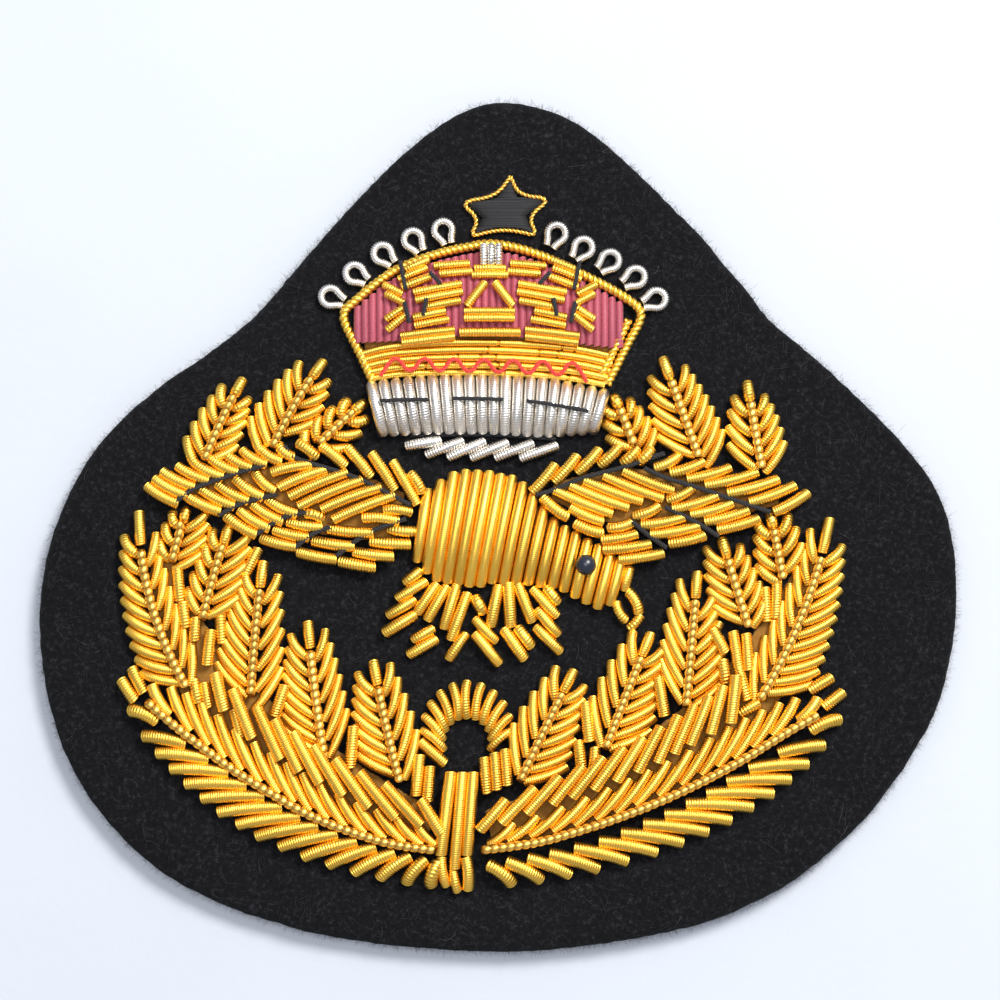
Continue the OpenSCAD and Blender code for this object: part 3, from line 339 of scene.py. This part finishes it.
def tube(build, path, radii, tone_and_painted_shade, sides=12, slant=0.0, hollow=0.0, given=None):
    """A skin of rings along a path, with flat cut ends, hollow if asked."""
    tangent, side, up = given or frames(path)
    n = len(path)
    angle = np.arange(sides) * 2 * math.pi / sides
    c, s = np.cos(angle)[None, :, None], np.sin(angle)[None, :, None]
    r = np.broadcast_to(np.asarray(radii).reshape(n, -1, 1), (n, sides, 1))
    ring = path[:, None] + r * (c * side[:, None] + s * up[:, None])
    if slant:
        ring = ring + slant * r * s * tangent[:, None]
    points = [ring.reshape(-1, 3)]
    marks = [np.repeat(tone_and_painted_shade, sides, axis=0)]
    i, k = np.meshgrid(np.arange(n - 1), np.arange(sides), indexing="ij")
    m = (k + 1) % sides
    quads = np.stack([i * sides + k, i * sides + m, (i + 1) * sides + m, (i + 1) * sides + k], -1)
    faces = [quads.reshape(-1, 4)]
    total = n * sides
    for end, way in ((0, 1), (n - 1, -1)):
        rim = end * sides + np.arange(sides)
        centre = path[end]
        mark = tone_and_painted_shade[end] * (1, 0, 0)
        if hollow:
            lip = centre + hollow * (ring[end] - centre)
            well = lip + way * hollow * 1.1 * r[end] * tangent[end]
            points += [lip, well, well.mean(0, keepdims=True)]
            # the lip and well get groove and inside marks, for painted shade inside the hollow end
            marks += [np.tile(mark + (0, 0.3, 0.25), (sides, 1)),
                      np.tile(mark + (0, 1, 1), (sides + 1, 1))]
            rings = [rim, total + np.arange(sides), total + sides + np.arange(sides)]
            middle = total + 2 * sides
        else:
            points.append(centre[None])
            marks.append(np.tile(mark, (1, 1)))
            rings, middle = [rim], total
        total = middle + 1
        for outer, inner in zip(rings, rings[1:]):
            q = np.stack([outer, inner, np.roll(inner, -1), np.roll(outer, -1)], -1)
            faces.append(q[:, ::way])
        fan = np.stack([rings[-1], np.full(sides, middle), np.roll(rings[-1], -1)], -1)
        faces.append(fan[:, ::way])
    build.add(np.concatenate(points), np.concatenate(marks), faces)


# ---------- reading the CAD solids ----------
def labels(count, edges):
    """A number for each point, the same for all points joined by edges."""
    lab = np.arange(count)
    while True:
        low = np.minimum(lab[edges[:, 0]], lab[edges[:, 1]])
        new = lab.copy()
        np.minimum.at(new, edges[:, 0], low)
        np.minimum.at(new, edges[:, 1], low)
        new = new[new]
        if (new == lab).all():
            return lab
        lab = new


def solids(name):
    """Each separate solid of a CAD node: its points, its edges and its two end rings."""
    mesh = nodes[name].data
    co = np.empty(len(mesh.vertices) * 3, np.float32)
    mesh.vertices.foreach_get("co", co)
    co = co.reshape(-1, 3).astype(float)
    mesh.calc_loop_triangles()
    tri = np.empty(len(mesh.loop_triangles) * 3, np.int32)
    mesh.loop_triangles.foreach_get("vertices", tri)
    _, first, weld = np.unique(np.round(co / 2e-7).astype(np.int64), axis=0,
                               return_index=True, return_inverse=True)
    co, tri = co[first], weld.ravel()[tri.reshape(-1, 3)]
    tri = tri[(tri[:, 0] != tri[:, 1]) & (tri[:, 1] != tri[:, 2]) & (tri[:, 0] != tri[:, 2])]
    normal = unit(np.cross(co[tri[:, 1]] - co[tri[:, 0]], co[tri[:, 2]] - co[tri[:, 0]]))
    edge = np.sort(np.concatenate([tri[:, (0, 1)], tri[:, (1, 2)], tri[:, (2, 0)]]), axis=1)
    face = np.tile(np.arange(len(tri)), 3)
    order = np.lexsort((edge[:, 1], edge[:, 0]))
    edge, face = edge[order], face[order]
    pair = (edge[1:] == edge[:-1]).all(1)
    a, b = face[:-1][pair], face[1:][pair]
    sharp = edge[:-1][pair][(normal[a] * normal[b]).sum(1) < 0.35]
    every = np.unique(edge, axis=0)
    body, ring = labels(len(co), every), labels(len(co), sharp)
    on_ring = np.zeros(len(co), bool)
    on_ring[sharp.ravel()] = True
    found = []
    for b in np.unique(body):
        mine = body == b
        rings = [np.where((ring == r) & on_ring)[0] for r in np.unique(ring[mine & on_ring])]
        found.append((co, every[mine[every[:, 0]]], rings))
    return sorted(found, key=lambda f: tuple(f[0][f[2][0]].mean(0)) if f[2] else (0, 0, 0))


def arcs(name):
    """Each round rod of a CAD node as (start, end, heading at the start, radius)."""
    out = []
    for co, edges, rings in solids(name):
        if len(rings) != 2:
            print("SCENE: odd solid in", name, [len(r) for r in rings])
            continue
        a, b = (co[r].mean(0) for r in rings)
        p = co[rings[0]] - a
        normal = np.linalg.svd(p)[2][2]
        inside = np.isin(edges, rings[0])
        leaving = edges[inside.sum(1) == 1]
        way = np.zeros(3)
        for (u, v), (uin, _) in zip(leaving, inside[inside.sum(1) == 1]):
            way += (co[v] - co[u]) * (1 if uin else -1)
        heading = normal * (1 if normal @ way > 0 else -1)
        out.append((a, b, heading, np.linalg.norm(p, axis=1).mean()))
    return out


def centre_lines(name):
    """The centre line of each swept cord of a CAD node, with its radius."""
    out = []
    for co, edges, rings in solids(name):
        if len(rings) != 2:
            print("SCENE: odd cord in", name, [len(r) for r in rings])
            continue
        near = {}
        for u, v in edges.tolist():
            near.setdefault(u, set()).add(v)
            near.setdefault(v, set()).add(u)
        layer, seen = set(rings[0].tolist()), set(rings[0].tolist())
        radius = np.linalg.norm(co[rings[0]] - co[rings[0]].mean(0), axis=1).mean()
        line = []
        while layer:
            line.append(co[sorted(layer)].mean(0))
            layer = set().union(*(near[v] for v in layer)) - seen
            seen |= layer
        out.append((np.array(line), radius))
    return out


# ---------- wound wire ----------
def seeded(name):
    return np.random.RandomState(zlib.crc32(name.encode()) % 2**31)


PROFILE = np.array([0.0, 0.22, 0.5, 0.78])


def coil_stations(length, pitch):
    """Places along a coil and how deep in the groove each one is (1 is the bottom)."""
    turns = max(2, round(length / pitch))
    at = (np.arange(turns)[:, None] + PROFILE).ravel()
    at = np.append(at, turns)
    phase = at % 1
    deep = 1 - np.sqrt(np.maximum(0, 1 - (2 * phase - 1) ** 2))
    return at / turns, deep


END_REACH = 0.13 * MM  # how far the wire runs on past its plain rod, to meet what it butts on


def wound_arc(build, arc, rng, pitch, depth, swell, sides, slant):
    """A length of wound wire lying along a circular arc, cut square at its ends."""
    a, b, heading, radius = arc
    chord = b - a
    size = np.linalg.norm(chord)
    along = chord / size
    half = math.acos(max(-1, min(1, heading @ along)))
    out = unit(heading - along * (heading @ along))
    half = max(half, 0.01)
    bow = size / 2 / math.sin(half)
    pitch = pitch * rng.uniform(0.92, 1.12)
    share, deep = coil_stations(2 * half * bow, pitch)
    turn = (2 * share - 1) * (half + END_REACH / bow)
    mid = (a + b) / 2 - out * bow * math.cos(half)
    path = mid + bow * (np.sin(turn)[:, None] * along + np.cos(turn)[:, None] * out)
    tangent = np.cos(turn)[:, None] * along - np.sin(turn)[:, None] * out
    up = np.cross(along, out)
    ups = np.tile(up, (len(path), 1))
    depth = depth * rng.uniform(0.7, 1.3)
    tone = rng.uniform(0.88, 1.1)
    radii = swell * radius - depth * pitch * deep
    tone_and_painted_shade = np.stack([np.full(len(path), tone), deep, np.zeros(len(path))], 1)
    tube(build, path, radii, tone_and_painted_shade, sides, slant, hollow=0.5,
         given=(tangent, np.cross(ups, tangent), ups))


def fullness(rods, least, most):
    """For each rod, how much thicker it must be to touch its nearest neighbour."""
    shares = np.linspace(0.25, 0.75, 5)[:, None]
    whole = np.linspace(0, 1, 13)[:, None]
    inner = [a + (b - a) * shares for a, b, _, _ in rods]
    lines = [a + (b - a) * whole for a, b, _, _ in rods]
    room = []
    for i, points in enumerate(inner):
        gaps = [np.linalg.norm(points[:, None] - line[None], axis=2).min(1)
                for j, line in enumerate(lines) if j != i]
        room.append(np.median(np.min(gaps, axis=0)) / (2 * rods[i][3]))
    room = np.array(room)
    return np.clip(1.07 * (0.5 * room + 0.5 * np.median(room)), least, most)


def purl(name, material, slot, pitch=0.19, depth=0.32, full=(1.2, 1.42), sides=12,
         slant=0.08):
    """Replaces a CAD node of plain rods by lengths of wound wire."""
    rng, build, rods = seeded(name), Build(), arcs(name)
    for arc, swell in zip(rods, fullness(rods, *full)):
        wound_arc(build, arc, rng, pitch * MM, depth, swell, sides, slant)
    return build.object(name + "_purl", material, slot, name)


def resample(line, step):
    gaps = np.linalg.norm(np.diff(line, axis=0), axis=1)
    at = np.concatenate([[0], np.cumsum(gaps)])
    n = max(2, int(round(at[-1] / step)) + 1)
    want = np.linspace(0, at[-1], n)
    return np.stack([np.interp(want, at, line[:, k]) for k in range(3)], 1)


def rounded(line, times=3):
    """Rounds the corners of a path."""
    for _ in range(times):
        near = line[:-1] * 0.75 + line[1:] * 0.25
        far = line[:-1] * 0.25 + line[1:] * 0.75
        mid = np.stack([near, far], 1).reshape(-1, 3)
        line = np.concatenate([line[:1], mid[1:-1], line[-1:]])
    return line


def coil_along(line, pitch, step):
    """A coil laid along a cord: its length, its stations, their depths and their places."""
    line = rounded(line, 2)
    length = np.linalg.norm(np.diff(line, axis=0), axis=1).sum()
    share, deep = coil_stations(length, pitch)
    fine = resample(line, step)
    at = share * (len(fine) - 1)
    path = np.stack([np.interp(at, np.arange(len(fine)), fine[:, k]) for k in range(3)], 1)
    return length, share, deep, path


def beaded(build, line, radius, rng, pitch, depth, sides=14, slant=0.25):
    """Pearl purl: a stiff wire whose turns stand out like a row of beads."""
    line = rounded(line, 2)
    length = np.linalg.norm(np.diff(line, axis=0), axis=1).sum()
    turns = max(2, round(length / pitch))
    phase = np.array([0, 0.05, 0.14, 0.3, 0.5, 0.7, 0.86, 0.95])
    at = np.append((np.arange(turns)[:, None] + phase).ravel(), turns)
    deep = 1 - np.sqrt(np.maximum(0, 1 - (2 * (at % 1) - 1) ** 2))
    path = resample(line, length / (len(at) * 4))
    where = at / turns * (len(path) - 1)
    path = np.stack([np.interp(where, np.arange(len(path)), path[:, k]) for k in range(3)], 1)
    radii = radius * (1 - depth * deep)
    tone = rng.uniform(0.92, 1.08)
    tone_and_painted_shade = np.stack([np.full(len(at), tone), deep, np.zeros(len(at))], 1)
    tube(build, path, radii, tone_and_painted_shade, sides, slant)


def twisted(build, line, radius, rng, pitch, strands=2, sides=8):
    """Strands laid round each other like a rope."""
    line = rounded(line, 2)
    length = np.linalg.norm(np.diff(line, axis=0), axis=1).sum()
    per_turn = 12
    n = max(8, int(length / pitch * per_turn))
    path = resample(line, length / n)
    _, side, up = frames(path)
    n = len(path)
    turn = np.arange(n) / per_turn * 2 * math.pi
    thick = radius * (0.56 if strands == 2 else 0.5)
    for k in range(strands):
        a = turn + 2 * math.pi * k / strands
        off = (radius - thick) * (np.cos(a)[:, None] * side + np.sin(a)[:, None] * up)
        tone = rng.uniform(0.92, 1.08)
        tone_and_painted_shade = np.stack([np.full(n, tone), np.zeros(n), np.zeros(n)], 1)
        tube(build, path + off, np.full(n, thick), tone_and_painted_shade, sides)


def beads(name, material, slot, pitch, depth=0.34, slant=0.4, swell=1.16):
    rng, build = seeded(name), Build()
    for line, radius in centre_lines(name):
        beaded(build, line, radius * swell, rng, pitch * MM, depth, slant=slant)
    return build.object(name + "_pearl_purl", material, slot, name)


def rope(name, material, slot, pitch, swell=1.0, strands=2, sides=8):
    rng, build = seeded(name), Build()
    for line, radius in centre_lines(name):
        twisted(build, line, radius * swell, rng, pitch * MM, strands, sides)
    return build.object(name + "_twist", material, slot, name)


# ---------- gold work ----------
STRAIGHT = dict(pitch=0.17, depth=0.24)
BENT = dict(pitch=0.19, depth=0.42)
for side in ("left", "right"):
    for i in range(1, 10):
        purl(f"leaf_{side}_{i}", gold, "gold_purl", **STRAIGHT)
    beads(f"leaf_veins_{side}", pale, "gold_cord", 0.66)
    beads(f"stem_cord_{side}", pale, "gold_cord", 0.68, slant=0.45)
    purl(f"stem_outer_{side}", gold, "gold_purl", **BENT)
    purl(f"stem_inner_{side}", gold, "gold_purl", **STRAIGHT)
    purl(f"stem_check_{side}", gold, "gold_purl", **BENT)
    purl(f"wing_{side}", gold, "gold_purl", **BENT)
purl("wreath_ring", gold, "gold_purl", **BENT)
purl("wreath_tie", gold, "gold_purl", **STRAIGHT)
purl("eagle_body", gold, "gold_purl", pitch=0.15, depth=0.12, full=(1.04, 1.12), sides=14)
purl("eagle_beak", gold, "gold_purl", **BENT)
purl("eagle_tail", gold, "gold_purl", **STRAIGHT)
purl("crown_arches", gold, "gold_purl", **BENT, full=(1.4, 1.6))
rope("crown_rim", gold, "gold_purl", 1.0, swell=1.08)


def band_rows():
    """The rows of the gold band, each made of several lengths of wound wire end to end."""
    name = "gold_band"
    rng, build = seeded(name), Build()
    for line, radius in centre_lines(name):
        pitch = 0.19 * MM
        length, share, deep, path = coil_along(line, pitch, 0.1 * MM)
        cuts = np.sort(rng.uniform(0.12, 0.9, 3))
        tone = 0.9 + 0.2 * (np.searchsorted(cuts, share) % 2)
        gap = np.min(np.abs(share[:, None] - cuts), axis=1) * length < 0.1 * MM
        # painted shade: the cut between two lengths gets the full groove value
        deep = np.maximum(deep, gap * 1.0)
        tone_and_painted_shade = np.stack([tone, deep, np.zeros(len(path))], 1)
        tube(build, path, 1.22 * radius - (0.25 * deep + 0.3 * gap) * pitch, tone_and_painted_shade, 12, 0.08,
             hollow=0.5)
    build.object(name + "_purl", gold, "gold_purl", name)


band_rows()

# ---------- silver work ----------
purl("silver_band", silver, "silver_purl", pitch=0.18, depth=0.25, full=(1.06, 1.15))
purl("base_twist", silver, "silver_purl", pitch=0.2, depth=0.4, full=(1.3, 1.4))
purl("crown_pearl", silver, "silver_purl", pitch=0.2, depth=0.35, full=(1.1, 1.2))


def loops():
    """Teardrops of fine wound wire, each open at its two ends."""
    name = "pearl_loops"
    rng, build = seeded(name), Build()
    for line, radius in centre_lines(name):
        pitch = 0.17 * MM
        _, _, deep, path = coil_along(line, pitch, 0.05 * MM)
        tone = np.full(len(path), rng.uniform(0.94, 1.08))
        tone_and_painted_shade = np.stack([tone, deep, np.zeros(len(path))], 1)
        tube(build, path, 1.22 * radius - 0.5 * deep * pitch, tone_and_painted_shade, 12, 0.05, hollow=0.5)
    build.object(name + "_purl", silver, "silver_purl", name)


loops()

# ---------- threads ----------
rope("wing_threads", black_silk, "black_thread", 0.9, strands=3, sides=7)
rope("crown_threads", black_silk, "black_thread", 0.9, strands=3, sides=7)
rope("band_threads", black_silk, "black_thread", 0.9, strands=3, sides=7)
purl("crown_silk", wine_silk, "wine_silk", pitch=0.11, depth=0.22, full=(1.2, 1.3), slant=0.3)


def zigzag():
    """Loose red floss worked from row to row over the gold band."""
    name = "red_zigzag"
    rng, build = seeded(name), Build()
    line = np.array([
        (-10.2 + 1.28 * i,
         12.95 + (12.4 - 12.95) * (i / 14) ** 2 if i % 2 == 0
         else 14.9 + (14.5 - 14.9) * (i / 14) ** 2)
        for i in range(15)])
    swell = np.sqrt(np.maximum(0, 1 - ((line[:, 0] + 0.8) / 12) ** 2))
    height = CLOTH_TOP + 0.88 + np.where(line[:, 1] > 13.8, 0.72, 0.22) * swell
    path = np.concatenate([line, height[:, None]], 1) * MM
    twisted(build, path, 0.19 * MM, rng, 1.1 * MM, 3, 7)
    build.object(name + "_floss", red_silk, "red_floss", name)


zigzag()

# ---------- star ----------
STAR = [(1.1, 30.4), (1.8, 28.75), (4.7, 28.5), (2.6, 26.9), (3.45, 25.2), (1.9, 25.6),
        (0.6, 25.75), (-0.8, 25.6), (-2.5, 25.1), (-1.6, 26.7), (-3.4, 28.2), (-0.2, 28.65)]


def star():
    rng, build = seeded("star"), Build()
    loop = np.array([(x, y, CLOTH_TOP + 0.28) for x, y in STAR + STAR[:1]]) * MM
    twisted(build, loop, 0.22 * MM, rng, 0.75 * MM, 2, 8)
    build.object("star_outline_twist", pale, "gold_cord", "star_outline")
    # satin stitches from side to side, each a thin silk thread
    build = Build()
    middle = np.array((0.7, 27.5))
    inner = middle + 0.86 * (np.array(STAR) - middle)
    edges = list(zip(inner, np.roll(inner, -1, 0)))
    for k in range(44):
        y = inner[:, 1].min() + (k + 0.5) / 44 * np.ptp(inner[:, 1])
        hits = sorted(a[0] + (b[0] - a[0]) * (y - a[1]) / (b[1] - a[1])
                      for a, b in edges if (a[1] - y) * (b[1] - y) < 0)
        for x0, x1 in zip(hits[::2], hits[1::2]):
            if x1 - x0 < 0.15:
                continue
            t = np.linspace(0, 1, 9)
            bow = 4 * t * (1 - t)
            path = np.stack([x0 + (x1 - x0) * t, y + rng.uniform(-0.03, 0.03) + 0 * t,
                             CLOTH_TOP + 0.1 + 0.34 * bow ** 0.5], 1) * MM
            mark = np.tile((rng.uniform(0.8, 1.2), 0, 0), (9, 1))
            tube(build, path, np.full(9, 0.075 * MM), mark, 7)
    build.object("star_satin", black_silk, "star_satin", "star_fill")


star()


# ---------- eye ----------
def eye():
    low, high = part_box("eagle_eye")
    middle = (np.array(low) + np.array(high)) / 2
    radius = (high[0] - low[0]) / 2
    build = Build()
    turn = np.linspace(-0.5, 0.5, 15) * math.pi
    path = middle + np.stack([0 * turn, 0 * turn, radius * np.sin(turn)], 1)
    radii = radius * 1.1 * np.maximum(np.cos(turn), 0.08)
    tube(build, path, radii, np.tile((1.0, 0, 0), (15, 1)), 24)
    build.object("eagle_eye_bead", bead, "eye_bead", "eagle_eye")


eye()


# ---------- cloth ----------
def outline_of(name):
    """The outline of a flat CAD sheet, in order round it, with its lower and upper faces."""
    low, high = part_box(name)
    mesh = nodes[name].data
    pts = np.array([v.co for v in mesh.vertices])
    pts = pts[pts[:, 2] > high[2] - 1e-6][:, :2]
    pts = np.unique(np.round(pts, 7), axis=0)
    return pts[np.argsort(np.arctan2(pts[:, 1], pts[:, 0]))], low[2], high[2]


def sheet_mesh(name, label, material, slot, soft, rough, around=420, rings=110):
    """A closed sheet with a soft edge. rough is the height of its uneven surface."""
    outline, low, high = outline_of(name)
    angle = np.arctan2(outline[:, 1], outline[:, 0])
    reach = np.linalg.norm(outline, axis=1)
    a = np.linspace(-math.pi, math.pi, around, endpoint=False)
    edge = np.interp(a, np.r_[angle - 2 * math.pi, angle, angle + 2 * math.pi], np.tile(reach, 3))
    edge = edge - rough + rough * np.array([
        1.5 * noise.noise((math.cos(t) * 9, math.sin(t) * 9, 3.0))
        + 1.2 * noise.noise((math.cos(t) * 45, math.sin(t) * 45, 8.0)) for t in a])
    thick = high - low
    build = Build()
    rows = []

    def row(inset, z, wobble):
        r = edge - inset
        x, y = r * np.cos(a), r * np.sin(a)
        if wobble:
            z = z + wobble * np.array([
                noise.noise((u * 260, v * 260, 0.0)) + 0.7 * noise.noise((u * 900, v * 900, 5.0))
                for u, v in zip(x, y)])
        rows.append(np.stack([x, y, np.broadcast_to(z, x.shape)], 1))

    for k in range(1, rings + 1):
        share = (k / rings) ** 0.9
        r_in = edge - soft
        x, y = r_in * share * np.cos(a), r_in * share * np.sin(a)
        z = high - rough + rough * np.array([
            noise.noise((u * 260, v * 260, 0.0)) + 0.7 * noise.noise((u * 900, v * 900, 5.0))
            for u, v in zip(x, y)])
        rows.append(np.stack([x, y, z], 1))
    for t in (30, 60, 90):
        row(soft * (1 - math.sin(math.radians(t))),
            high - rough - soft * 0.8 * (1 - math.cos(math.radians(t))), rough * 0.6)
    for t in (0.35, 0.7):
        row(rough * 0.5, high - rough - soft * 0.8 - (thick - soft) * t * 0.8, rough * 0.6)
    row(rough, low + 0.02 * MM, 0)
    row(soft, low, 0)
    n = len(rows)
    points = np.concatenate(rows)
    i, k = np.meshgrid(np.arange(n - 1), np.arange(around), indexing="ij")
    m = (k + 1) % around
    quads = np.stack([i * around + k, (i + 1) * around + k, (i + 1) * around + m,
                      i * around + m], -1).reshape(-1, 4)
    centre_top, centre_low = n * around, n * around + 1
    points = np.concatenate([points, [(0, 0, high - rough), (0, 0, low)]])
    ring = np.arange(around)
    top_fan = np.stack([np.full(around, centre_top), ring, np.roll(ring, -1)], -1)
    last = (n - 1) * around + ring
    low_fan = np.stack([np.full(around, centre_low), np.roll(last, -1), last], -1)
    build.add(points, np.tile((1.0, 0, 0), (len(points), 1)), [quads, top_fan, low_fan])
    return build.object(label, material, slot, name)


cloth = sheet_mesh("face_cloth", "wool_face", wool, "wool_cloth", 0.75 * MM, 0.07 * MM, 640)
stiff = sheet_mesh("stiffener", "buckram_layer", buckram_weave, "stiffener", 0.1 * MM,
                   0.01 * MM, 200, 12)
lining = sheet_mesh("back_lining", "cotton_lining", lining_weave, "lining_cloth", 0.08 * MM,
                    0.004 * MM, 200, 12)


def fuzz():
    """Loose wool fibres on the face and round the cut edge, each a thin tapered hair."""
    outline, low, high = outline_of("face_cloth")
    angle = np.arctan2(outline[:, 1], outline[:, 0])
    reach = np.linalg.norm(outline, axis=1)
    rng, build = seeded("fuzz"), Build()
    for k in range(7600):
        on_edge = k % 2 == 0
        t = rng.uniform(-math.pi, math.pi)
        rim = np.interp(t, angle, reach)
        if on_edge:
            r = rim - rng.uniform(0, 0.3) * MM
            z = rng.uniform(low + 0.2 * MM, high - 0.1 * MM)
            length, heading, lift = rng.uniform(0.2, 0.7), t + rng.normal(0, 0.9), 0.2
        else:
            r = rim * math.sqrt(rng.uniform(0, 0.98))
            z = high - 0.04 * MM
            length, heading, lift = rng.uniform(0.4, 1.8), rng.uniform(0, 2 * math.pi), 0.13
        p = np.array((r * math.cos(t), r * math.sin(t), z))
        curl = rng.normal(0, 0.6)
        pts = [p]
        steps = 5
        for s in range(steps):
            heading += curl * length / steps
            rise = lift * math.sin(math.pi * (s + 1) / steps) * rng.uniform(0.2, 1)
            step = np.array((math.cos(heading), math.sin(heading), rise)) * length / steps * MM
            pts.append(pts[-1] + step)
        pts = np.array(pts)
        radii = rng.uniform(0.008, 0.014) * MM * np.linspace(1.0, 0.5, len(pts))
        tone = rng.uniform(0.6, 1.6) * (3.5 if rng.rand() < 0.05 else 1)
        tube(build, pts, radii, np.tile((tone, 0, 0), (len(pts), 1)), 3)
    return build.object("wool_fuzz", fibre, "wool_cloth")


fibre = thread_cloth("wool_fibre", (0.006, 0.006, 0.007), (0.028, 0.028, 0.032), 0.9, 0.1)
hair = fuzz()


# ---------- felt pads under the gold work ----------
def felt(name):
    """The CAD pad as soft felt: remeshed fine, smoothed and roughened."""
    source = nodes[name].data.copy()
    obj = bpy.data.objects.new(name + "_felt", source)
    scene.collection.objects.link(obj)
    modifier = obj.modifiers.new("fine", "REMESH")
    modifier.mode, modifier.voxel_size = "VOXEL", 0.22 * MM
    smooth = obj.modifiers.new("soft", "SMOOTH")
    smooth.iterations, smooth.factor = 6, 0.5
    depsgraph = bpy.context.evaluated_depsgraph_get()
    mesh = bpy.data.meshes.new_from_object(obj.evaluated_get(depsgraph))
    bpy.data.objects.remove(obj)
    bpy.data.meshes.remove(source)
    pts = np.array([v.co for v in mesh.vertices])
    faces = np.array([p.vertices for p in mesh.polygons])
    bpy.data.meshes.remove(mesh)
    low = pts[:, 2].min()
    shift = np.array([noise.noise((p * 1200).tolist()) for p in pts]) * 0.03 * MM
    pts[:, 2] = np.maximum(pts[:, 2] + shift - 0.02 * MM, low)
    build = Build()
    build.add(pts, np.tile((1.0, 0, 0), (len(pts), 1)), [faces])
    done = build.object(name + "_felt", pad_felt_painted_shade, "padding_felt", name)


for pad in ("wreath_pad_left", "wreath_pad_right", "body_pad", "wing_pad_left",
            "wing_pad_right", "crown_pad", "headband_pad"):
    felt(pad)


# ---------- floor ----------
def floor():
    size = 2.0
    steps = np.linspace(-size, size, 41)
    x, y = np.meshgrid(steps, steps)
    pts = np.stack([x.ravel(), y.ravel(), np.full(x.size, -0.00002)], 1)
    i, k = np.meshgrid(np.arange(40), np.arange(40), indexing="ij")
    q = np.stack([i * 41 + k, i * 41 + k + 1, (i + 1) * 41 + k + 1, (i + 1) * 41 + k], -1)
    mesh = bpy.data.meshes.new("floor")
    mesh.from_pydata(pts.tolist(), [], q.reshape(-1, 4).tolist())
    mesh.materials.append(floor_material())
    obj = bpy.data.objects.new("floor", mesh)
    scene.collection.objects.link(obj)


floor()
